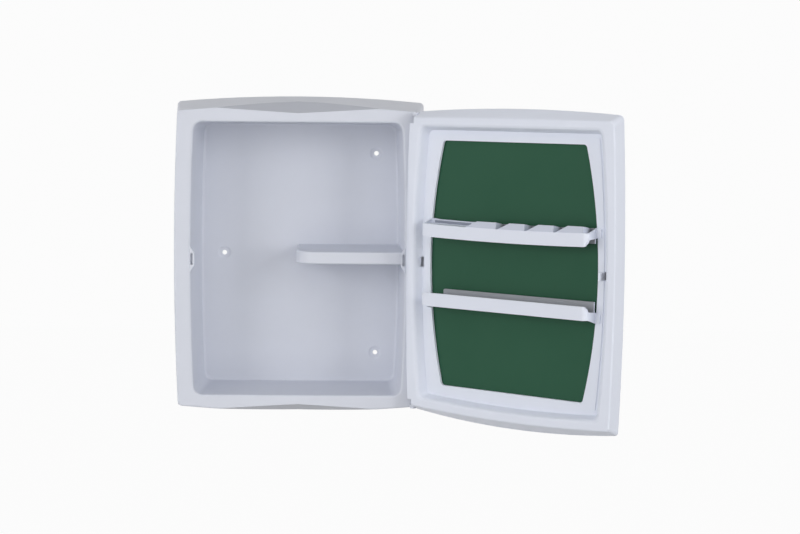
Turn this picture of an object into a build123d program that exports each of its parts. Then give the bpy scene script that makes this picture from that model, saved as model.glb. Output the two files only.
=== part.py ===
from build123d import *
import os

os.makedirs("parts", exist_ok=True)

# Moulded plastic medicine cabinet with a mirror door hung on two pins at its right side.
# Millimetres. X runs to the right, Y into the wall and Z up.
# The origin is the centre of the flat back, on the wall.
# The door is drawn shut and then swung open about its pins, as it stands in the photograph.

# Cabinet body, outside
body_depth = 100.0
front_half_width = 145.7
front_half_height = 179.9
front_end_arch = 6.6
side_flare = 8.7
end_flare = 10.0
back_end_arch = 7.3
side_bow = 4.3
outer_corner_radius = 5.0
wall = 2.3
rim_edge_radius = 1.8

# Cabinet body, inside
rim_side_width = 19.6
rim_end_width = 13.4
opening_bow = 4.0
opening_corner_radius = 11.0
floor_draft = 3.3
side_draft = 5.4
back_wall = 2.5
root_radius = 3.0
mouth_radius = 2.4

# Stiffening ribs between the tub and the skirt, open to the wall side
rib_thickness = 1.6
side_rib_pitch = 110.0
side_rib_count = 3
end_rib_pitch = 150.0
end_rib_count = 2
rib_setback = 3.0

# Finger scoops in the top and bottom edges
scoop_half_width = 100.0
scoop_dip = 9.2
scoop_reach = 43.0

# Corner shelf moulded with the tub
shelf_left_x = -3.0
shelf_front_gap = 15.0
shelf_front_thickness = 14.9
shelf_front_middle = 0.75
shelf_slope = 3.1
shelf_corner_radius = 26.0
shelf_edge_radius = 2.2
shelf_end_wall = 12.0

# Screw seats in the back wall
seat_side_inset = 30.6
seat_end_inset = 40.0
screw_hole_radius = 2.9
seat_outer_radius = 8.3
seat_floor_radius = 5.5
seat_depth = 1.2

# Catch keepers at mid-height on both sides of the opening
keeper_inward = 4.6
keeper_flat = 15.4
keeper_length = 31.8
keeper_depth = 8.0
keeper_slot_width = 2.6
keeper_slot_height = 13.8
keeper_slot_depth = 5.0
keeper_slot_inset = 2.0

# Hinge
hinge_inset = 3.8
hinge_forward = 10.7
open_angle = 140.66
pin_radius = 1.5
press_clearance = 0.01
pin_clearance = 0.05
lug_radius = 4.0
lug_thickness = 3.8
lug_end_inset = 2.1
lug_side_clearance = 0.5
collar_radius = 2.4
collar_length = 4.7
boss_radius = 4.0
boss_length = 14.0
boss_to_collar = 4.2
swing_radius = 10.3

# Door, outside
door_gap = 0.5
door_side_depth = 17.0
door_side_inset = 2.2
door_end_inset = 5.9
door_side_flare = 2.4
door_end_flare = 6.6
door_rim_top_arch = 0.6
door_rim_bottom_arch = 5.0
door_wide_top_arch = 5.4
door_wide_bottom_arch = 9.3
door_bow = 4.7
door_top_radius = 8.0
door_wide_top_radius = 6.5
door_bottom_radius = 5.0
door_edge_radius = 1.4
door_wall = 2.2

# Door, stepped recess on its inner side
recess_side_inset = 16.5
recess_end_inset = 10.4
recess_bow = 9.0
recess_bottom_arch = 4.6
recess_radius = 7.0
recess_mouth_radius = 3.2
recess_depth = 12.5
recess_draft = 4.3
groove_width = 5.0
groove_depth = 1.0
panel_thickness = 2.2

# Window behind the mirror
window_side_inset = 26.3
window_end_inset = 16.4
window_bow = 18.3
window_radius = 4.5

# Mirror and its seat
mirror_overlap = 7.5
mirror_thickness = 3.0
mirror_radius = 6.0
mirror_play = 0.3
tape_thickness = 0.8
tape_width = 5.0
tape_inset = 1.2
tape_corner_gap = 15.0

# Front bezel
bezel_face = 2.2
bezel_rounding = 3.0
bezel_lip = 4.5
bezel_bevel = 1.5
bezel_rib = 1.6
bezel_rib_depth = 3.0
bezel_fit = 0.2

# Spring tongue of the door's catch, and the opening beside it
tongue_thickness = 1.5
tongue_height = 9.3
tongue_reach = 2.6
tongue_slot_height = 9.8
hinge_slot_height = 12.5
tongue_relief = 4.2

# Door racks, measured from the level of the door's middle
rack_reach = 10.0
rack_wall = 2.0
rack_end_inset = 9.6
rack_back_gap = 1.5
rack_bend_radius = 6.0
rack_outer_corner = 2.5
rack_inner_corner = 5.5
rack_end_cut_width = 3.4
rack_end_cut_rounding = 2.0
rack_back_corner = 2.0
rack_foot_width = 8.0
rack_tab_inset = 4.5
rack_tab_width = 6.0
rack_tab_thickness = 1.8
rack_tab_length = 1.8
tab_clearance = 0.03
upper_strip = (33.5, 48.7)
upper_sag = 1.9
upper_arm_near = 41.0
upper_foot = (42.0, 54.0)
upper_back = (36.2, 53.7)
lower_strip = (34.0, 49.9)
lower_arm_near = 40.5
lower_foot = (42.4, 54.8)
lower_back = (29.8, 49.9)
lower_back_end = 96.0

# Rise of the upper rack's back wall at its hinge end
end_rise = 0.3
end_rise_start = 20.0
end_rise_length = 12.0

# Teeth of the upper rack, each with a ramp, a top and a drop that faces the door's free side
tooth_drops = (9.0, -31.0, -71.0, -111.0)
tooth_tops = (27.0, 21.0, 21.0, 21.0)
tooth_ramp = 17.5
tooth_height = 7.8
tooth_back_height = 4.8
tooth_setback = 1.0
tooth_lean = 1.4

# Places worked out from the sizes above
back_half_width = front_half_width + side_flare
back_half_height = front_half_height + end_flare
opening_half_width = front_half_width - rim_side_width
opening_half_height = front_half_height - rim_end_width
seat_x = opening_half_width - seat_side_inset
seat_z = opening_half_height - seat_end_inset
hinge_x = front_half_width - hinge_inset
hinge_y = -body_depth - hinge_forward
lug_middle = front_half_height - lug_end_inset
door_rim_half_width = front_half_width - door_side_inset
door_rim_half_height = front_half_height - door_end_inset
door_wide_half_width = door_rim_half_width + door_side_flare
door_wide_half_height = door_rim_half_height + door_end_flare
recess_half_width = door_rim_half_width - recess_side_inset
recess_half_height = door_rim_half_height - recess_end_inset
window_half_width = recess_half_width - window_side_inset
window_half_height = recess_half_height - window_end_inset
rack_half_length = recess_half_width - rack_end_inset
door_seam = door_gap + door_side_depth
panel_face = door_gap + recess_depth - groove_depth
panel_back = door_gap + recess_depth + panel_thickness
mirror_back = panel_back + tape_thickness
mirror_front = mirror_back + mirror_thickness
door_front = mirror_front + bezel_face
past = 1.0
wide = 2 * back_half_height


def side(start, end, rise, up):
    """One side of an outline, bowed outward by rise along the direction up."""
    middle = (Vector(*start) + Vector(*end)) * 0.5 + Vector(*up) * rise
    return ThreePointArc(start, middle, end) if rise > 0.01 else Line(start, end)


def barrel(y, half_width, half_height, bow, top_arch, bottom_arch, radius, top_radius):
    """Four-sided face with bowed sides and rounded corners, facing out of the cabinet at depth y."""
    top_left = (-half_width, half_height)
    top_right = (half_width, half_height)
    low_right = (half_width, -half_height)
    low_left = (-half_width, -half_height)
    edges = [
        side(top_left, top_right, top_arch, (0, 1)),
        side(top_right, low_right, bow, (1, 0)),
        side(low_right, low_left, bottom_arch, (0, -1)),
        side(low_left, top_left, bow, (-1, 0)),
    ]
    face = make_face(edges)
    face = fillet(face.vertices().group_by(Axis.Y)[0], radius)
    face = fillet(face.vertices().group_by(Axis.Y)[-1], top_radius)
    return Plane(origin=(0, y, 0), x_dir=(1, 0, 0), z_dir=(0, -1, 0)) * face


def between(first, second, share):
    return first + (second - first) * share


def skirt(y, inset):
    """Outline of the cabinet's outer skirt at depth y, which widens toward the wall."""
    share = (y + body_depth) / body_depth
    arch = between(front_end_arch, back_end_arch, share)
    half_width = between(front_half_width, back_half_width, share) - inset
    half_height = between(front_half_height, back_half_height, share) - inset
    radius = outer_corner_radius - inset * 0.5
    return barrel(y, half_width, half_height, side_bow, arch, arch, radius, radius)


def tub(y, grow):
    """Outline of the cabinet's inner space at depth y, which narrows toward the wall."""
    share = (y + body_depth) / body_depth
    half_width = opening_half_width - side_draft * share + grow
    half_height = opening_half_height - floor_draft * share + grow
    radius = opening_corner_radius + grow
    return barrel(y, half_width, half_height, opening_bow, 0, 0, radius, radius)


def door_outline(ahead, inset):
    """Outline of the door at a distance ahead of the cabinet's rim, widening toward its front."""
    share = (ahead - door_gap) / door_side_depth
    half_width = between(door_rim_half_width, door_wide_half_width, share) - inset
    half_height = between(door_rim_half_height, door_wide_half_height, share) - inset
    top = between(door_rim_top_arch, door_wide_top_arch, share)
    bottom = between(door_rim_bottom_arch, door_wide_bottom_arch, share)
    low_radius = door_bottom_radius - inset * 0.5
    top_radius = between(door_top_radius, door_wide_top_radius, share) - inset * 0.5
    return barrel(-body_depth - ahead, half_width, half_height, door_bow, top, bottom, low_radius, top_radius)


def recess_outline(ahead, grow):
    """Outline of the recess in the door's inner side, which narrows toward the panel."""
    share = (ahead - door_gap) / recess_depth
    half_width = recess_half_width - recess_draft * share + grow
    half_height = recess_half_height - recess_draft * share + grow
    bottom = recess_bottom_arch
    radius = recess_radius + grow
    return barrel(-body_depth - ahead, half_width, half_height, recess_bow, 0, bottom, radius, radius)


def window_outline(ahead, grow, radius):
    """Outline of the window in the door's panel, or of the mirror that covers it."""
    half_width = window_half_width + grow
    half_height = window_half_height + grow
    return barrel(-body_depth - ahead, half_width, half_height, window_bow, 0, 0, radius, radius)


def skin(outline, start, end, offset):
    """Solid between an outline at one depth and the same outline at another."""
    return loft([outline(start, offset), outline(end, offset)], ruled=True)


def lead(start, radius):
    """Levels of two bevels that ease an edge: the depth of each and how far the outline moves there."""
    bevel = radius * (1 - 0.5 ** 0.5)
    return [(start, radius), (start + bevel, bevel), (start + radius, 0)]


def stack(outline, levels):
    """Solid through an outline at several depths, moved by the offset given for each."""
    return loft([outline(place, offset) for place, offset in levels], ruled=True)


def block(low, high):
    """Box between two opposite corners."""
    size = Vector(*high) - Vector(*low)
    centre = (Vector(*high) + Vector(*low)) * 0.5
    return Pos(*centre) * Box(*size)


def on_hinge(radius, low_z, high_z):
    """Upright cylinder on the hinge axis."""
    return Pos(hinge_x, hinge_y, (low_z + high_z) / 2) * Cylinder(radius, high_z - low_z)


def ends(low_z, high_z):
    """The two spans in z that a pair of features takes, one at the top and one at the bottom."""
    return [(low_z, high_z), (-high_z, -low_z)]


def scoop(shift):
    """Space above the two planes that dip to the middle of the top edge, lowered by shift."""
    middle = front_half_height + front_end_arch - scoop_dip
    slope = (scoop_dip - front_end_arch * (scoop_half_width / front_half_width) ** 2) / scoop_half_width
    skirt_rise = (back_half_height + back_end_arch - front_half_height - front_end_arch) / body_depth
    climb = scoop_dip / scoop_reach + skirt_rise
    far = front_half_width
    start = -body_depth - past
    low = middle - shift - climb * past
    points = [(-far, low + slope * far), (0, low), (far, low + slope * far), (far, wide), (-far, wide)]
    profile = make_face(Polyline(*points, close=True))
    profile = Plane(origin=(0, start, 0), x_dir=(1, 0, 0), z_dir=(0, -1, 0)) * profile
    return extrude(profile, amount=body_depth, dir=(0, 1, climb))


def both_ends(shape):
    return shape + mirror(shape, about=Plane.XY)


# Cabinet body: outer skirt and inner tub in one moulding, joined at the front rim
skirt_outer = stack(skirt, lead(-body_depth, rim_edge_radius) + [(0, 0)])
skirt_core = skin(skirt, wall - body_depth, past, wall)
tub_outer = skin(tub, -body_depth, past, wall)
tub_mouth = [(-body_depth - past, mouth_radius)] + lead(-body_depth, mouth_radius)
tub_root = [(-place, -offset) for place, offset in reversed(lead(back_wall, root_radius))]
tub_space = stack(tub, tub_mouth + tub_root)

ribs = []
half_rib = rib_thickness / 2
for index in range(side_rib_count):
    z = (index - (side_rib_count - 1) / 2) * side_rib_pitch
    ribs.append(block((-wide, -body_depth, z - half_rib), (wide, -rib_setback, z + half_rib)))
for index in range(end_rib_count):
    x = (index - (end_rib_count - 1) / 2) * end_rib_pitch
    ribs.append(block((x - half_rib, -body_depth, -wide), (x + half_rib, -rib_setback, wide)))

hollow = skirt_core - tub_outer - both_ends(scoop(wall))
for rib in ribs:
    hollow -= rib
cabinet_body = skirt_outer - hollow - both_ends(scoop(0)) - tub_space


def shelf_solid(inset, end_inset):
    """Corner shelf, its side view crossed with its plan, smaller by an inset and by more at its left end."""
    front_y = shelf_front_gap - body_depth + inset
    half_front = shelf_front_thickness / 2 - inset
    half_back = half_front + shelf_slope
    profile = make_face(Polyline(
        (front_y, shelf_front_middle - half_front),
        (front_y, shelf_front_middle + half_front),
        (0, shelf_front_middle + half_back),
        (0, shelf_front_middle - half_back),
        close=True,
    ))
    profile = Plane(origin=(shelf_left_x - past, 0, 0), x_dir=(0, 1, 0), z_dir=(1, 0, 0)) * profile
    side_view = extrude(profile, amount=wide / 2)
    left = shelf_left_x + end_inset
    right = opening_half_width + opening_bow
    plan = make_face(Polyline((left, 0), (left, front_y), (right, front_y), (right, 0), close=True))
    front_left = plan.vertices().group_by(Axis.Y)[0].sort_by(Axis.X)[0]
    plan = fillet(front_left, shelf_corner_radius - inset)
    return side_view & (Pos(0, 0, -wide / 4) * extrude(plan, amount=wide / 2))


shelf = shelf_solid(0, 0)
shelf_rim = [edge for edge in shelf.edges() if edge.center().Y < -2 * wall]
shelf_rim = [edge for edge in shelf_rim if edge.center().X < opening_half_width]
shelf = fillet(shelf_rim, shelf_edge_radius)
cabinet_body += shelf & tub_outer & block((-wide, -body_depth, -wide), (wide, 0, wide))
shelf_core = shelf_solid(wall, shelf_end_wall) & skin(tub, -body_depth, past, 0)
cabinet_body -= shelf_core

for x, z in ((seat_x, seat_z), (seat_x, -seat_z), (-seat_x, 0)):
    facing = Plane(origin=(x, -back_wall, z), x_dir=(1, 0, 0), z_dir=(0, 1, 0))
    dish = facing * Pos(0, 0, seat_depth / 2) * Cone(seat_outer_radius, seat_floor_radius, seat_depth)
    cabinet_body -= dish
    cabinet_body -= facing * Cylinder(screw_hole_radius, 4 * back_wall)

# Catch keepers: thickened stretches of the opening's sides, each with a slot for the door's tongue
keeper_face = opening_half_width + opening_bow - keeper_inward
for hand in (-1, 1):
    root = hand * (opening_half_width + opening_bow + past)
    face_x = hand * keeper_face
    plan = make_face(Polyline(
        (root, -keeper_length / 2),
        (face_x, -keeper_flat / 2),
        (face_x, keeper_flat / 2),
        (root, keeper_length / 2),
        close=True,
    ))
    plan = Plane(origin=(0, -body_depth, 0), x_dir=(1, 0, 0), z_dir=(0, -1, 0)) * plan
    keeper = extrude(plan, amount=-keeper_depth)
    cabinet_body += keeper
    slot_x = hand * (keeper_face + keeper_slot_inset + keeper_slot_width / 2)
    slot = Pos(slot_x, -body_depth, 0) * Box(keeper_slot_width, 2 * keeper_slot_depth, keeper_slot_height)
    cabinet_body -= slot

# Hinge lugs, each with a collar toward the door, and their holes
lug_low = lug_middle - lug_thickness / 2
lug_high = lug_middle + lug_thickness / 2
collar_end = lug_low - collar_length
for low, high in ends(lug_low, lug_high):
    root = block((hinge_x - lug_radius, hinge_y, low), (hinge_x + lug_radius, wall / 2 - body_depth, high))
    cabinet_body += root + on_hinge(lug_radius, low, high)
for low, high in ends(collar_end, lug_middle):
    cabinet_body += on_hinge(collar_radius, low, high)
for low, high in ends(collar_end, lug_high):
    cabinet_body -= on_hinge(pin_radius + press_clearance, low - past, high + past)

# Hinge pins
boss_high = collar_end - boss_to_collar
boss_low = boss_high - boss_length
pins = [on_hinge(pin_radius, low, high) for low, high in ends(boss_low, lug_high)]
notch_top = door_wide_half_height + door_wide_bottom_arch + past


def lug_space(turn):
    """Room that a lug needs in the shut door when the door has turned by this angle."""
    clear = lug_radius + lug_side_clearance
    low = (hinge_x - clear, hinge_y, boss_high)
    arm = block(low, (hinge_x + clear, hinge_y + 2 * swing_radius, notch_top))
    arm += on_hinge(clear, boss_high, notch_top)
    return arm.rotate(Axis((hinge_x, hinge_y, 0), (0, 0, 1)), -turn)


def lug_notch():
    """Corner notch that lets the door turn about its upper lug from shut to open."""
    reach = 2 * swing_radius
    stop = Vector(0, reach, 0).rotate(Axis.Z, -open_angle)
    swept = make_face(Polyline((0, 0), (0, reach), (reach, reach), (stop.X, stop.Y), close=True))
    swept = Pos(hinge_x, hinge_y, boss_high) * extrude(swept, amount=notch_top - boss_high)
    rear = block((hinge_x - lug_radius - lug_side_clearance, hinge_y, boss_high), (wide, -body_depth, wide))
    return swept + lug_space(0) + lug_space(open_angle) + rear


def hinge_side(radius):
    """Space left of the hinge axis and, right of it, within a radius that clears the cabinet's rim."""
    left = block((-wide, hinge_y - wide, -wide), (hinge_x, hinge_y + wide, wide))
    return left + on_hinge(radius, -wide, wide)


notch = both_ends(lug_notch())

# Door back: rim, side walls, stepped recess and window panel in one moulding, open to the front
door_solid = stack(door_outline, lead(door_gap, door_edge_radius) + [(door_seam, 0)])
door_solid &= hinge_side(swing_radius)
door_core = skin(door_outline, door_gap + door_wall, door_seam + past, door_wall)
door_core &= hinge_side(swing_radius - door_wall)
tray = skin(recess_outline, door_gap, panel_back, door_wall)
recess_mouth = [(door_gap - past, recess_mouth_radius)] + lead(door_gap, recess_mouth_radius)
recess = stack(recess_outline, recess_mouth + [(door_gap + recess_depth, 0)])
plateau = skin(recess_outline, panel_face, panel_back, -groove_width)
window = [window_outline(ahead, 0, window_radius) for ahead in (-past, door_front)]
door_back = door_solid - (door_core - tray) - recess
door_back += plateau
door_back -= loft(window, ruled=True)

for low, high in ends(boss_low, boss_high):
    boss = on_hinge(boss_radius, low, high) & skin(door_outline, door_gap, door_seam - bezel_rib_depth, 0)
    door_back += boss & hinge_side(swing_radius)
for low, high in ends(boss_low, boss_high):
    door_back -= on_hinge(pin_radius + pin_clearance, low - past, high + past)
door_back -= notch

# Catch tongue on the free side, in an opening through the step, and the like opening on the hinge side
tongue_x = keeper_face + keeper_slot_inset + keeper_slot_width / 2
tongue_foot = -body_depth - panel_back
for hand, height in ((-1, tongue_slot_height), (1, hinge_slot_height)):
    inner = hand * (tongue_x + tongue_thickness / 2)
    outer = hand * (tongue_x + tongue_thickness / 2 + tongue_relief)
    low = (min(inner, outer), tongue_foot - past, -height / 2)
    high = (max(inner, outer), -body_depth - door_gap - door_wall, height / 2)
    door_back -= block(low, high)
tongue_length = panel_back + tongue_reach
tongue = Box(tongue_thickness, tongue_length, tongue_height)
tongue = Pos(-tongue_x, tongue_foot + tongue_length / 2, 0) * tongue
tip_edges = tongue.edges().group_by(Axis.Y)[-1].filter_by(Axis.Z)
door_back += chamfer(tip_edges, tongue_thickness / 3)

# Slots for the tabs of the racks' feet, in the panel beside the window
tab_x = rack_half_length + rack_tab_inset
slot_half = Vector(rack_tab_thickness, 0, rack_tab_width) * 0.5 + Vector(tab_clearance, past, tab_clearance)
slot_through = Vector(0, 2 * panel_thickness, 0)
for level in ((upper_foot[0] + upper_foot[1]) / 2, -(lower_foot[0] + lower_foot[1]) / 2):
    for x in (-tab_x, tab_x):
        middle = Vector(x, -body_depth - panel_face, level)
        door_back -= block(middle - slot_half - slot_through, middle + slot_half)

# Front bezel: the door's visible face, with the lip that holds the mirror
front_outline = door_outline(door_seam, bezel_rounding)
front_outline = Pos(0, door_seam - door_front, 0) * front_outline
bezel = loft([door_outline(door_seam, 0), front_outline], ruled=True)
bezel_core = skin(door_outline, door_seam - past, mirror_front, door_wall)
bezel -= bezel_core & hinge_side(swing_radius - door_wall)
opening_grow = mirror_overlap - bezel_lip
near = window_outline(mirror_front - past, opening_grow, window_radius)
far = window_outline(door_front + past, opening_grow + 2 * bezel_bevel, window_radius)
mirror_ring = window_outline(mirror_front, mirror_overlap + mirror_play + bezel_rib, mirror_radius)
ring_foot = window_outline(panel_back + bezel_fit, mirror_overlap + mirror_play + bezel_rib, mirror_radius)
ring = loft([ring_foot, mirror_ring], ruled=True)
space_foot = window_outline(panel_back, mirror_overlap + mirror_play, mirror_radius)
space_end = window_outline(mirror_front, mirror_overlap + mirror_play, mirror_radius)
bezel += ring
bezel -= loft([space_foot, space_end], ruled=True)
locator_foot = door_seam - bezel_rib_depth
locator = skin(door_outline, locator_foot, mirror_front, door_wall + bezel_fit)
locator -= skin(door_outline, locator_foot - past, mirror_front + past, door_wall + bezel_fit + bezel_rib)
bezel += locator & block((-wide, -wide, -wide), (hinge_x - swing_radius, wide, wide))
bezel -= loft([near, far], ruled=True)
bezel &= hinge_side(swing_radius)
bezel -= notch


# Mirror glass and the foam tape behind its edge
def window_slab(start, end, grow):
    """Slab between two depths with the window's outline, larger by grow."""
    faces = [window_outline(level, grow, mirror_radius) for level in (start, end)]
    return loft(faces, ruled=True)


mirror_glass = window_slab(mirror_back, mirror_front, mirror_overlap)
tape = window_slab(panel_back, mirror_back, tape_inset + tape_width)
tape -= window_slab(panel_back - past, mirror_back + past, tape_inset)
corner_cut = Box(2 * tape_corner_gap, 4 * mirror_thickness, 2 * tape_corner_gap)
for x in (-window_half_width, window_half_width):
    for z in (-window_half_height, window_half_height):
        tape -= Pos(x, -body_depth - mirror_back, z) * corner_cut


# Door racks
rack_face_y = rack_reach - body_depth
rack_back_y = rack_back_gap - body_depth - panel_face
rack_foot_y = -body_depth - panel_face
rack_inner = rack_half_length - rack_wall / 2


def sunk(x, level, sag):
    """Height at x of an edge that bows down from its level at the rack's ends."""
    return level - sag * (1 - (x / rack_half_length) ** 2)


def band(left, right, low, high, sag):
    """Front view of a stretch of a rack between two levels, bowed down by sag."""
    middle = (left + right) / 2
    corners = [(left, low), (left, high), (right, high), (right, low)]
    corners = [(x, sunk(x, level, sag)) for x, level in corners]
    dip = (sunk(left, low, sag) + sunk(right, low, sag)) / 2 - sunk(middle, low, sag)
    top = side(corners[1], corners[2], dip, (0, -1))
    bottom = side(corners[3], corners[0], dip, (0, -1))
    return make_face([Line(corners[0], corners[1]), top, Line(corners[2], corners[3]), bottom])


def raised(face, start_y, end_y):
    """Front view made solid between two depths."""
    face = Plane(origin=(0, end_y, 0), x_dir=(1, 0, 0), z_dir=(0, -1, 0)) * face
    return extrude(face, amount=end_y - start_y)


def rack(strip, sag, back, back_end, arm_near, foot):
    """Door rack as it stands in the upper place: strip, plate, back wall, end arms and feet with tabs."""
    near, far = strip
    half = rack_half_length
    front_view = band(-half, half, near, far, sag)
    hinge_corners = front_view.vertices().group_by(Axis.X)[-1].sort_by(Axis.Y)
    front_view = fillet(hinge_corners[-1], rack_outer_corner)
    hinge_corner = front_view.vertices().sort_by(Axis.X)[-4:].sort_by(Axis.Y)[0]
    front_view = fillet(hinge_corner, rack_inner_corner)
    cut_low = 2 * near - arm_near
    front_view -= make_face(Polyline(
        (-half - past, arm_near),
        (-half, arm_near),
        (-half + 2 * rack_end_cut_width, cut_low),
        (-half - past, cut_low),
        close=True,
    ))
    free_corner = front_view.vertices().sort_by(Axis.Y)[0:2].sort_by(Axis.X)[0]
    front_view = fillet(free_corner, rack_end_cut_rounding)

    outer_plan = make_face(Polyline(
        (-half, rack_foot_y),
        (-half, rack_face_y),
        (half, rack_face_y),
        (half, rack_foot_y),
        close=True,
    ))
    outer_plan = fillet(outer_plan.vertices().group_by(Axis.Y)[-1], rack_bend_radius)
    inner_plan = make_face(Polyline(
        (rack_wall - half, rack_foot_y - past),
        (rack_wall - half, rack_face_y - rack_wall),
        (half - rack_wall, rack_face_y - rack_wall),
        (half - rack_wall, rack_foot_y - past),
        close=True,
    ))
    inner_plan = fillet(inner_plan.vertices().group_by(Axis.Y)[-1], rack_bend_radius - rack_wall)
    footprint = extrude(outer_plan, amount=wide / 2)
    bent_wall = footprint - extrude(inner_plan, amount=wide / 2)

    bend_y = rack_face_y - rack_bend_radius
    arm = make_face(Polyline(
        (rack_foot_y, foot[0]),
        (rack_foot_y, foot[1]),
        (bend_y, far),
        (rack_face_y, far),
        (rack_face_y, arm_near),
        (bend_y, arm_near),
        close=True,
    ))
    arm = Plane(origin=(-half, 0, 0), x_dir=(0, 1, 0), z_dir=(1, 0, 0)) * arm
    arm = extrude(arm, amount=rack_bend_radius)
    shape = raised(front_view, bend_y, rack_face_y) + arm + Pos(2 * half - rack_bend_radius, 0, 0) * arm
    moulding = bent_wall & shape

    plate = raised(band(-half, half, far - rack_wall, far, sag), rack_back_y, rack_face_y - rack_wall / 2)
    moulding += plate & footprint & block((-rack_inner, rack_foot_y, 0), (rack_inner, rack_face_y, wide))
    back_wall = raised(band(-half, half, back[0], back[1], sag), rack_back_y, rack_back_y + rack_wall)
    back_wall &= block((-rack_inner, rack_foot_y, 0), (back_end, rack_face_y, wide))
    if back_end < rack_inner:
        end_edges = back_wall.edges().filter_by(Axis.Y).group_by(Axis.X)[-1]
        back_wall = fillet(end_edges.sort_by(Axis.Z)[0], rack_back_corner)
    moulding += back_wall
    foot_middle = (foot[0] + foot[1]) / 2
    foot_half = (foot[1] - foot[0] - rack_wall) / 2
    for hand in (-1, 1):
        root = hand * rack_inner
        tip = hand * (half - rack_wall + rack_foot_width)
        low = (min(root, tip), rack_foot_y, foot_middle - foot_half)
        high = (max(root, tip), rack_foot_y + rack_wall, foot_middle + foot_half)
        tab_middle = Vector(hand * tab_x, rack_foot_y, foot_middle)
        tab_half = Vector(rack_tab_thickness, 0, rack_tab_width) * 0.5
        tab_end = Vector(0, rack_tab_length, 0)
        tab = block(tab_middle - tab_half - tab_end, tab_middle + tab_half + tab_end / 2)
        moulding += block(low, high) + tab
    return moulding


def tooth(drop, top_length, shrink):
    """Tooth of the upper rack, or the hollow beneath it when it shrinks by the wall's thickness."""
    far = upper_strip[1]
    base = sunk(drop + top_length / 2, far, upper_sag)
    crest = base + tooth_height - shrink
    depth = rack_wall / 2 + shrink
    ramp_end = drop + top_length + tooth_ramp
    front_view = make_face(Polyline(
        (drop + shrink, sunk(drop, far, upper_sag) - depth),
        (drop + shrink, crest),
        (drop + top_length, crest),
        (ramp_end, sunk(ramp_end, far, upper_sag) - rack_wall / 4 - shrink),
        (ramp_end, sunk(ramp_end, far, upper_sag) - depth),
        close=True,
    ))
    foot_y = rack_face_y - tooth_setback - shrink
    rear_y = rack_back_y + (rack_wall + shrink) / 2
    low = far - upper_sag - 2 * rack_wall
    side_view = make_face(Polyline(
        (foot_y, low),
        (foot_y, base - rack_wall / 2),
        (foot_y - tooth_lean, crest),
        (rear_y, base + tooth_back_height - shrink),
        (rear_y, low),
        close=True,
    ))
    side_view = Plane(origin=(-rack_half_length, 0, 0), x_dir=(0, 1, 0), z_dir=(1, 0, 0)) * side_view
    return raised(front_view, rack_back_y, rack_face_y) & extrude(side_view, amount=2 * rack_half_length)


upper_rack = rack(upper_strip, upper_sag, upper_back, rack_inner, upper_arm_near, upper_foot)
for drop, top_length in zip(tooth_drops, tooth_tops):
    upper_rack += tooth(drop, top_length, 0)
for drop, top_length in zip(tooth_drops, tooth_tops):
    upper_rack -= tooth(drop, top_length, rack_wall)
rise_x = rack_half_length - end_rise_start
hinge_end_rise = make_face(Polyline(
    (rise_x, upper_back[1] - 2 * rack_wall),
    (rise_x, sunk(rise_x, upper_back[1], upper_sag) - rack_wall / 4),
    (rise_x + end_rise_length, upper_back[1] + end_rise),
    (rack_inner, upper_back[1] + end_rise),
    (rack_inner, upper_back[1] - 2 * rack_wall),
    close=True,
))
upper_rack += raised(hinge_end_rise, rack_back_y, rack_back_y + rack_wall)
lower_rack = rack(lower_strip, 0, lower_back, lower_back_end, lower_arm_near, lower_foot)
lower_rack = mirror(lower_rack, about=Plane.XY)

# The door's pieces swing open together about the pins
axis = Axis((hinge_x, hinge_y, 0), (0, 0, 1))
door_pieces = {
    "door_back_shell": door_back,
    "door_front_bezel": bezel,
    "mirror_glass": mirror_glass,
    "mirror_foam_tape": tape,
    "upper_door_rack": upper_rack,
    "lower_door_rack": lower_rack,
}
pieces = {name: shape.rotate(axis, open_angle) for name, shape in door_pieces.items()}
pieces["cabinet_body"] = cabinet_body
pieces["upper_hinge_pin"] = pins[0]
pieces["lower_hinge_pin"] = pins[1]

for name, shape in pieces.items():
    solids = shape.solids()
    print(name, len(solids), round(sum(solid.volume for solid in solids)))
    export_step(Compound(children=solids) if len(solids) > 1 else solids[0], f"parts/{name}.step")
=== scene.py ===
import math

import bpy
from mathutils import Matrix, Vector

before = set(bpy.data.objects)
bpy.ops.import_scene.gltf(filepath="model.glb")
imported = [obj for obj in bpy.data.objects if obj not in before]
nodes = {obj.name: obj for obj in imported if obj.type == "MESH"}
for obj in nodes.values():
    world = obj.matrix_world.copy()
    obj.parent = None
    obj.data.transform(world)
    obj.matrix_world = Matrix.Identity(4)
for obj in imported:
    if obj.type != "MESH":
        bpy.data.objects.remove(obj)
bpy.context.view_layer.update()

# Lengths are in metres, and colours are red, green, blue and opacity

# The pins that the door turns on, and the angle by which it stands open
HINGE_X = 0.1419
HINGE = Vector((HINGE_X, -0.1107, 0.0))
OPEN_ANGLE = math.radians(140.66)

# Cool whites and finishes of the mouldings
BODY_WHITE = (0.668, 0.690, 0.760, 1.0)
DOOR_WHITE = (0.765, 0.797, 0.885, 1.0)
RACK_WHITE = (0.760, 0.790, 0.880, 1.0)
BODY_FINISH = {"Roughness": 0.45, "Cloud": 0.010, "Grain": 0.06, "Waviness": 0.2}
SHELL_FINISH = {"Roughness": 0.42, "Cloud": 0.008, "Grain": 0.05, "Waviness": 0.15}
BEZEL_FINISH = {"Roughness": 0.34, "Cloud": 0.008, "Grain": 0.05, "Waviness": 0.15}
RACK_FINISH = {"Roughness": 0.42, "Cloud": 0.008, "Grain": 0.04, "Waviness": 0.15}

# Finger scoops in the body's top and bottom edges, which carry painted shade. Their planes start
# from a height in the middle of the rim, rise along the rim and toward the wall, and run from just
# behind the rim.
RIM_DEPTH = 0.1
SCOOP_MIDDLE = 0.1773
SCOOP_SLOPE = 0.0609
SCOOP_CLIMB = 0.321
SCOOP_TOLERANCE = 0.0001
SCOOP_RUN = (-0.0990, -0.0500)
SCOOP_PAINTED_SHADE = (0.530, 0.550, 0.615, 1.0)
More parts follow.
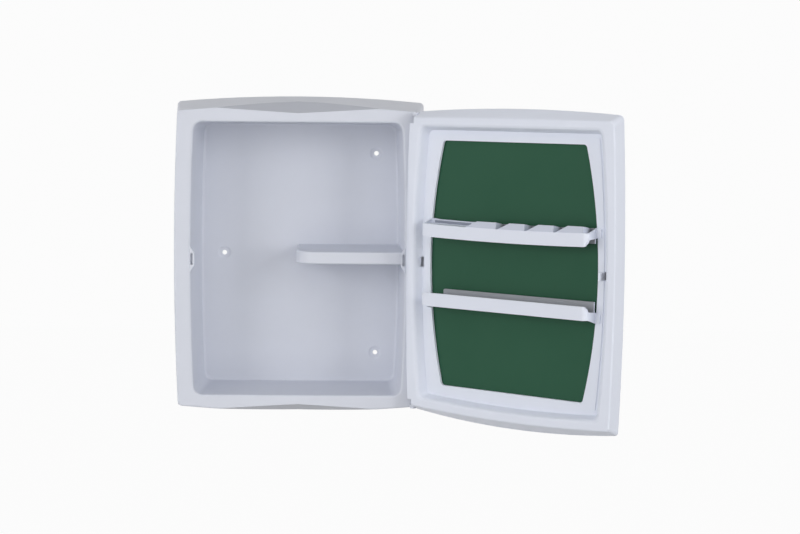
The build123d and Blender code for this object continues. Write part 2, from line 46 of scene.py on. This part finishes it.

# Places on the door go by height, by reach and by depth. Reach is the distance from the hinge pins
# along the open door, and depth is the distance in front of them, square to it.

# Painted shade on the walls deep in the racks, darker toward the panel
RACK_PAINTED_SHADE = (0.320, 0.332, 0.360, 1.0)
PAINTED_SHADE_DEPTHS = (-0.0125, -0.0032)
UPPER_PAINTED_SHADE_REACH = (0.1300, 0.2581)
LOWER_PAINTED_SHADE_REACH = (0.0400, 0.2581)

# Upper rack above its strip: painted shade on the teeth, and painted shadow in the gap behind the
# strip near the hinge. The heights are those at the rack's middle, and the rack's ends stand
# higher by the end rise.
TOOTH_PAINTED_SHADE = (0.74, 0.75, 0.78, 1.0)
TOOTH_HEIGHTS = (0.0471, 0.0618)
TOOTH_REACH = (0.0265, 0.2549)
GAP_PAINTED_SHADE = (0.42, 0.43, 0.46, 1.0)
GAP_HEIGHTS = (0.0471, 0.0504)
GAP_REACH = (0.0320, 0.0860)
END_RISE = 0.0019
RACK_HALF_LENGTH = 0.1174

# Painted dark brown shade in the hollow seen through the slot beside the catch tongue
SLOT_PAINTED_SHADE = (0.085, 0.065, 0.072, 1.0)
SLOT_HEIGHTS = (-0.0049, 0.0049)
SLOT_REACH = (0.2715, 0.2832)
SLOT_DEPTHS = (-0.0080, 0.0094)

# Mirror glass: the greens of its painted back, the colour of its edge, and the depths where the
# paint ends and the silver begins
PAINT_GREENS = ((0.024, 0.087, 0.050, 1.0), (0.030, 0.097, 0.057, 1.0))
GLASS_EDGE = (0.30, 0.42, 0.38, 1.0)
SILVER = (0.78, 0.81, 0.805, 1.0)
PAINT_END = (0.0055, 0.0057)
SILVER_START = (0.0080, 0.0082)

# Studio: plain floor, white surroundings and rectangular lamps round the object
WHITE = (1.0, 1.0, 1.0, 1.0)
FLOOR_GREY = (0.80, 0.80, 0.80, 1.0)
FLOOR_GLOW = 0.96
FLOOR_SIZE = 40.0
FLOOR_PLACE = (0.1, -0.2, -2.6)
AMBIENT = 0.22
SURROUNDINGS = 0.972
LAMP_TARGET = Vector((0.1, -0.1, 0.0))

# Each lamp's place, width, height and power in watts
SOFTBOXES = {
    "Front softbox": ((0.1, -3.0, 0.45), 2.4, 1.8, 11.5),
    "Low softbox": ((0.1, -2.5, -0.9), 1.6, 0.8, 5.0),
    "High softbox": ((0.0, -2.2, 1.7), 1.9, 1.2, 6.0),
    "Left softbox": ((-1.9, -2.0, 0.5), 1.2, 1.4, 22.0),
    "Right softbox": ((2.0, -1.9, 0.5), 1.2, 1.4, 26.5),
    "Far left softbox": ((-2.7, -1.1, 0.35), 1.2, 1.4, 12.0),
    "Top softbox": ((0.1, 0.3, 2.4), 1.6, 1.2, 5.0),
    "Back softbox": ((0.1, 2.6, -0.5), 3.0, 2.0, 44.0),
}

# Camera: its place, its angles in degrees, and its sensor's width and focal length in millimetres
CAMERA_PLACE = (0.07819, -2.41641, 0.20940)
CAMERA_TURN = -1.146
CAMERA_TILT = -5.362
CAMERA_ROLL = 0.4997
SENSOR_WIDTH = 36.0
FOCAL_LENGTH = 86.04


def feed(tree, node, inputs):
    """Links or sets a node's inputs, given by name or number as sockets or plain values."""
    for name, value in inputs.items():
        if isinstance(value, bpy.types.NodeSocket):
            tree.links.new(value, node.inputs[name])
        else:
            node.inputs[name].default_value = value


def add(tree, kind, inputs=None, **properties):
    """New node with its properties and inputs."""
    node = tree.nodes.new(kind)
    for name, value in properties.items():
        setattr(node, name, value)
    feed(tree, node, inputs or {})
    return node


def maths(tree, operation, first, second):
    """Result of one operation on two sockets or numbers."""
    return add(tree, "ShaderNodeMath", {0: first, 1: second}, operation=operation).outputs[0]


def product(tree, first, *others):
    """Product of sockets or numbers. Of masks, it is the place where all of them are one."""
    for other in others:
        first = maths(tree, "MULTIPLY", first, other)
    return first


def between(tree, value, limits):
    """One where the value lies between two limits, else nought."""
    low, high = limits
    inputs = {0: value, 1: (low + high) / 2, 2: (high - low) / 2}
    return add(tree, "ShaderNodeMath", inputs, operation="COMPARE").outputs[0]


def ramp(tree, value, low, high, start=0.0, end=1.0, **properties):
    """Goes from low to high while the value goes from start to end."""
    inputs = {"Value": value, "From Min": start, "From Max": end, "To Min": low, "To Max": high}
    return add(tree, "ShaderNodeMapRange", inputs, **properties).outputs["Result"]


def noise(tree, place, scale, detail, roughness=0.5):
    inputs = {"Vector": place, "Scale": scale, "Detail": detail, "Roughness": roughness}
    return add(tree, "ShaderNodeTexNoise", inputs).outputs["Fac"]


def bumps(tree, height, strength, distance):
    inputs = {"Height": height, "Strength": strength, "Distance": distance}
    return add(tree, "ShaderNodeBump", inputs).outputs["Normal"]


def projected(tree, place, direction):
    """How far a place lies in a direction."""
    inputs = {0: place, 1: direction}
    return add(tree, "ShaderNodeVectorMath", inputs, operation="DOT_PRODUCT").outputs["Value"]


def coordinate(tree, place, letter):
    return add(tree, "ShaderNodeSeparateXYZ", {0: place}).outputs[letter]


def mixed(tree, mask, first, second, **properties):
    """First colour where the mask is nought, and the second where it is one."""
    inputs = {"Factor": mask, "A": first, "B": second}
    return add(tree, "ShaderNodeMix", inputs, data_type="RGBA", **properties).outputs["Result"]


def lay_on(tree, socket, mask, colour, **properties):
    """Lays a colour over the one that the socket has so far, where the mask is one."""
    below = socket.links[0].from_socket if socket.is_linked else tuple(socket.default_value)
    tree.links.new(mixed(tree, mask, below, colour, **properties), socket)


def door_depth(tree, place):
    """Distance in front of the hinge pins, square to the open door."""
    normal = Vector((math.sin(OPEN_ANGLE), -math.cos(OPEN_ANGLE), 0.0))
    return maths(tree, "SUBTRACT", projected(tree, place, normal), HINGE.dot(normal))


def door_reach(tree, place):
    """Distance from the hinge pins, along the open door."""
    along = Vector((-math.cos(OPEN_ANGLE), -math.sin(OPEN_ANGLE), 0.0))
    return maths(tree, "SUBTRACT", projected(tree, place, along), HINGE.dot(along))


def node_group(name, inputs, outputs):
    """Empty shader node group, with the kind of each named input and output."""
    group = bpy.data.node_groups.new(name, "ShaderNodeTree")
    for way, sockets in (("INPUT", inputs), ("OUTPUT", outputs)):
        for label, kind in sockets.items():
            group.interface.new_socket(label, in_out=way, socket_type="NodeSocket" + kind)
    return group, group.nodes.new("NodeGroupInput"), group.nodes.new("NodeGroupOutput")


def moulded_skin():
    """Surface of injection moulded plastic: fine sparked grain, slow waviness and faint clouds."""
    group, start, end = node_group(
        "Moulded skin",
        {
            "Vector": "Vector",
            "Colour": "Color",
            "Cloud": "Float",
            "Grain": "Float",
            "Waviness": "Float",
            "Roughness": "Float",
        },
        {"Colour": "Color", "Roughness": "Float", "Height": "Float"},
    )
    place = start.outputs["Vector"]

    darkest = maths(group, "SUBTRACT", 1.0, start.outputs["Cloud"])
    lightest = maths(group, "ADD", 1.0, start.outputs["Cloud"])
    clouds = noise(group, place, scale=22.0, detail=3.0, roughness=0.55)
    tone = ramp(group, clouds, darkest, lightest, 0.3, 0.7)
    inputs = {0: start.outputs["Colour"], "Scale": tone}
    tinted = add(group, "ShaderNodeVectorMath", inputs, operation="SCALE")

    patches = noise(group, place, scale=60.0, detail=2.0)
    sheen = ramp(group, patches, -0.03, 0.03, 0.3, 0.7)

    grain = noise(group, place, scale=1900.0, detail=2.0, roughness=0.6)
    waves = noise(group, place, scale=45.0, detail=1.0, roughness=0.4)
    fine = product(group, grain, start.outputs["Grain"])
    slow = product(group, waves, start.outputs["Waviness"])

    feed(group, end, {
        "Colour": tinted.outputs["Vector"],
        "Roughness": maths(group, "ADD", start.outputs["Roughness"], sheen),
        "Height": maths(group, "ADD", fine, slow),
    })
    return group


def blank_material(name):
    """Material with its shader and the Object coordinates that every pattern reads."""
    material = bpy.data.materials.new(name)
    material.use_nodes = True
    tree = material.node_tree
    place = add(tree, "ShaderNodeTexCoord").outputs["Object"]
    return material, tree, tree.nodes["Principled BSDF"], place


def plastic(name, skin, colour, finish):
    """Gloss moulding plastic, and the socket of its colour for other colours to be laid on."""
    material, tree, shader, place = blank_material(name)
    inputs = {"Vector": place, "Colour": colour, **finish}
    moulded = add(tree, "ShaderNodeGroup", inputs, node_tree=skin)
    feed(tree, shader, {
        "Base Color": moulded.outputs["Colour"],
        "Roughness": moulded.outputs["Roughness"],
        "Normal": bumps(tree, moulded.outputs["Height"], strength=0.35, distance=0.0004),
        "IOR": 1.5,
        "Specular IOR Level": 0.3,
    })
    return material, tree, place, moulded.inputs["Colour"]


def body_material(skin):
    """Body plastic, with painted shade on the finger scoops of its top and bottom edges."""
    material, tree, place, colour = plastic("Body plastic", skin, BODY_WHITE, BODY_FINISH)
    # Both halves of both scoops lie on one plane of the mirrored coordinates
    mirrored = add(tree, "ShaderNodeVectorMath", {0: place}, operation="ABSOLUTE")
    rise = projected(tree, mirrored.outputs["Vector"], (-SCOOP_SLOPE, SCOOP_CLIMB, 1.0))
    level = SCOOP_MIDDLE + SCOOP_CLIMB * RIM_DEPTH
    scoop = between(tree, rise, (level - SCOOP_TOLERANCE, level + SCOOP_TOLERANCE))
    behind_rim = between(tree, coordinate(tree, place, "Y"), SCOOP_RUN)
    # Painted shade: the scoops' surfaces get a darker grey colour
    lay_on(tree, colour, product(tree, scoop, behind_rim), SCOOP_PAINTED_SHADE)
    return material


def door_material(name, skin, finish):
    """Door plastic, with painted dark shade in the hollow that shows through the slot beside the
    catch tongue.
    """
    material, tree, place, colour = plastic(name, skin, DOOR_WHITE, finish)
    slot = product(
        tree,
        between(tree, coordinate(tree, place, "Z"), SLOT_HEIGHTS),
        between(tree, door_reach(tree, place), SLOT_REACH),
        between(tree, door_depth(tree, place), SLOT_DEPTHS),
    )
    # Painted shade in the hollow behind the slot
    lay_on(tree, colour, slot, SLOT_PAINTED_SHADE)
    return material


def rack_plastic(name, skin, shade_reach):
    """Rack plastic with painted shade on the walls deep against the panel."""
    material, tree, place, colour = plastic(name, skin, RACK_WHITE, RACK_FINISH)
    depth = door_depth(tree, place)
    deep = ramp(tree, depth, 0.0, 1.0, *PAINTED_SHADE_DEPTHS, interpolation_type="SMOOTHSTEP")
    stretch = between(tree, door_reach(tree, place), shade_reach)
    # Painted shade, deepening toward the panel
    lay_on(tree, colour, product(tree, deep, stretch), RACK_PAINTED_SHADE)
    return material, tree, place, colour


def upper_rack_material(skin):
    """Rack plastic with painted shade on its teeth, and painted shadow in the gap behind the strip
    near the hinge.
    """
    name = "Upper rack plastic"
    material, tree, place, colour = rack_plastic(name, skin, UPPER_PAINTED_SHADE_REACH)
    reach = door_reach(tree, place)
    from_middle = maths(tree, "SUBTRACT", reach, HINGE_X)
    rise = product(tree, from_middle, from_middle, END_RISE / RACK_HALF_LENGTH ** 2)
    height = maths(tree, "SUBTRACT", coordinate(tree, place, "Z"), rise)
    # Painted shade on the teeth and painted shadow in the gap, multiplied into the colour
    for shade, heights, reaches in (
        (TOOTH_PAINTED_SHADE, TOOTH_HEIGHTS, TOOTH_REACH),
        (GAP_PAINTED_SHADE, GAP_HEIGHTS, GAP_REACH),
    ):
        mask = product(tree, between(tree, height, heights), between(tree, reach, reaches))
        lay_on(tree, colour, mask, shade, blend_type="MULTIPLY")
    return material


def lower_rack_material(skin):
    """Rack plastic with nothing laid on but the painted shade on its deep walls."""
    material, *_ = rack_plastic("Lower rack plastic", skin, LOWER_PAINTED_SHADE_REACH)
    return material


def mirror_material():
    """Silvered glass with a green painted back."""
    material, tree, shader, place = blank_material("Mirror glass")
    depth = door_depth(tree, place)
    bare = ramp(tree, depth, 0.0, 1.0, *PAINT_END)
    silvered = ramp(tree, depth, 0.0, 1.0, *SILVER_START)
    clouds = noise(tree, place, scale=14.0, detail=4.0, roughness=0.6)
    paint_green = mixed(tree, clouds, *PAINT_GREENS)
    unsilvered = mixed(tree, bare, paint_green, GLASS_EDGE)
    feed(tree, shader, {
        "Base Color": mixed(tree, silvered, unsilvered, SILVER),
        "Metallic": silvered,
        "Roughness": ramp(tree, silvered, 0.32, 0.01),
        "Specular IOR Level": 0.12,
    })
    return material


def foam_material():
    """Pale closed-cell foam tape."""
    material, tree, shader, place = blank_material("Foam tape")
    voronoi = add(tree, "ShaderNodeTexVoronoi", {"Vector": place, "Scale": 1400.0})
    cells = voronoi.outputs["Distance"]
    feed(tree, shader, {
        "Base Color": ramp(tree, cells, 0.62, 0.72),
        "Roughness": 0.9,
        "Normal": bumps(tree, cells, strength=0.5, distance=0.0003),
    })
    return material


def pin_material():
    """Steel wire painted near black as the shade in the hinge holes, with fine lines along the
    pin.
    """
    material, tree, shader, place = blank_material("Hinge pin wire in painted shade")
    inputs = {"Vector": place, "Scale": (4000.0, 4000.0, 120.0)}
    stretched = add(tree, "ShaderNodeMapping", inputs)
    lines = noise(tree, stretched.outputs["Vector"], scale=1.0, detail=3.0)
    # Near-black colour painted as the shade in the hinge holes
    feed(tree, shader, {
        "Base Color": ramp(tree, lines, 0.035, 0.06),
        "Roughness": ramp(tree, lines, 0.38, 0.55),
        "Metallic": 0.3,
    })
    return material


def paint(node, material):
    """Gives a CAD node its only material."""
    slots = nodes[node].data.materials
    slots.clear()
    slots.append(material)


def seen_ray(tree):
    """One where a ray comes from the camera, from a reflection or through glass, else nought."""
    path = add(tree, "ShaderNodeLightPath")
    direct = maths(tree, "MAXIMUM", path.outputs["Is Camera Ray"], path.outputs["Is Glossy Ray"])
    return maths(tree, "MAXIMUM", direct, path.outputs["Is Transmission Ray"])


def backdrop_material():
    """Pale floor that looks nearly white and still takes a faint shadow."""
    material, tree, shader, _ = blank_material("Backdrop")
    feed(tree, shader, {"Base Color": FLOOR_GREY, "Roughness": 0.9})
    glow = add(tree, "ShaderNodeEmission", {"Color": WHITE, "Strength": 1.0})
    share = product(tree, seen_ray(tree), FLOOR_GLOW)
    inputs = {"Fac": share, 1: shader.outputs["BSDF"], 2: glow.outputs["Emission"]}
    mix = add(tree, "ShaderNodeMixShader", inputs)
    feed(tree, tree.nodes["Material Output"], {"Surface": mix.outputs[0]})
    return material


def stage_floor():
    """Pale floor of the studio, far enough below for the underside to be seen too."""
    bpy.ops.mesh.primitive_plane_add(size=FLOOR_SIZE, location=FLOOR_PLACE)
    floor = bpy.context.object
    floor.name = "floor"
    floor.data.materials.append(backdrop_material())


def white_surroundings():
    """World that is white where the camera looks past the object, and soft light elsewhere."""
    world = bpy.data.worlds.new("Surroundings")
    bpy.context.scene.world = world
    world.use_nodes = True
    tree = world.node_tree
    tree.nodes.clear()
    ambient = add(tree, "ShaderNodeBackground", {"Color": WHITE, "Strength": AMBIENT})
    seen = add(tree, "ShaderNodeBackground", {"Color": WHITE, "Strength": SURROUNDINGS})
    inputs = {"Fac": seen_ray(tree), 1: ambient.outputs[0], 2: seen.outputs[0]}
    mix = add(tree, "ShaderNodeMixShader", inputs)
    add(tree, "ShaderNodeOutputWorld", {"Surface": mix.outputs[0]})


def softbox(name, place, width, height, power):
    """Studio lamp that faces the object and doesn't show as a glare in the mirror."""
    lamp = bpy.data.lights.new(name, "AREA")
    lamp.shape = "RECTANGLE"
    lamp.size = width
    lamp.size_y = height
    lamp.energy = power
    box = bpy.data.objects.new(name, lamp)
    box.visible_glossy = False
    bpy.context.scene.collection.objects.link(box)
    box.location = place
    box.rotation_euler = (LAMP_TARGET - Vector(place)).to_track_quat("-Z", "Y").to_euler()


def photo_camera():
    """Camera of the photograph, found from the cabinet's edges."""
    lens = bpy.data.cameras.new("Camera")
    lens.sensor_width = SENSOR_WIDTH
    lens.sensor_fit = "HORIZONTAL"
    lens.lens = FOCAL_LENGTH
    lens.clip_start = 0.05
    lens.clip_end = 50.0
    camera = bpy.data.objects.new("Camera", lens)
    bpy.context.scene.collection.objects.link(camera)
    turn = Matrix.Rotation(math.radians(CAMERA_TURN), 4, "Z")
    tilt = Matrix.Rotation(math.radians(90.0 + CAMERA_TILT), 4, "X")
    roll = Matrix.Rotation(math.radians(CAMERA_ROLL), 4, "Z")
    camera.matrix_world = Matrix.Translation(CAMERA_PLACE) @ turn @ tilt @ roll
    bpy.context.scene.camera = camera


skin = moulded_skin()
wire = pin_material()
paint("cabinet_body", body_material(skin))
paint("door_back_shell", door_material("Door shell plastic", skin, SHELL_FINISH))
paint("door_front_bezel", door_material("Door bezel plastic", skin, BEZEL_FINISH))
paint("upper_door_rack", upper_rack_material(skin))
paint("lower_door_rack", lower_rack_material(skin))
paint("mirror_glass", mirror_material())
paint("mirror_foam_tape", foam_material())
paint("upper_hinge_pin", wire)
paint("lower_hinge_pin", wire)

for name, (place, width, height, power) in SOFTBOXES.items():
    softbox(name, place, width, height, power)
stage_floor()
white_surroundings()
photo_camera()
bpy.context.scene.view_settings.view_transform = "Standard"
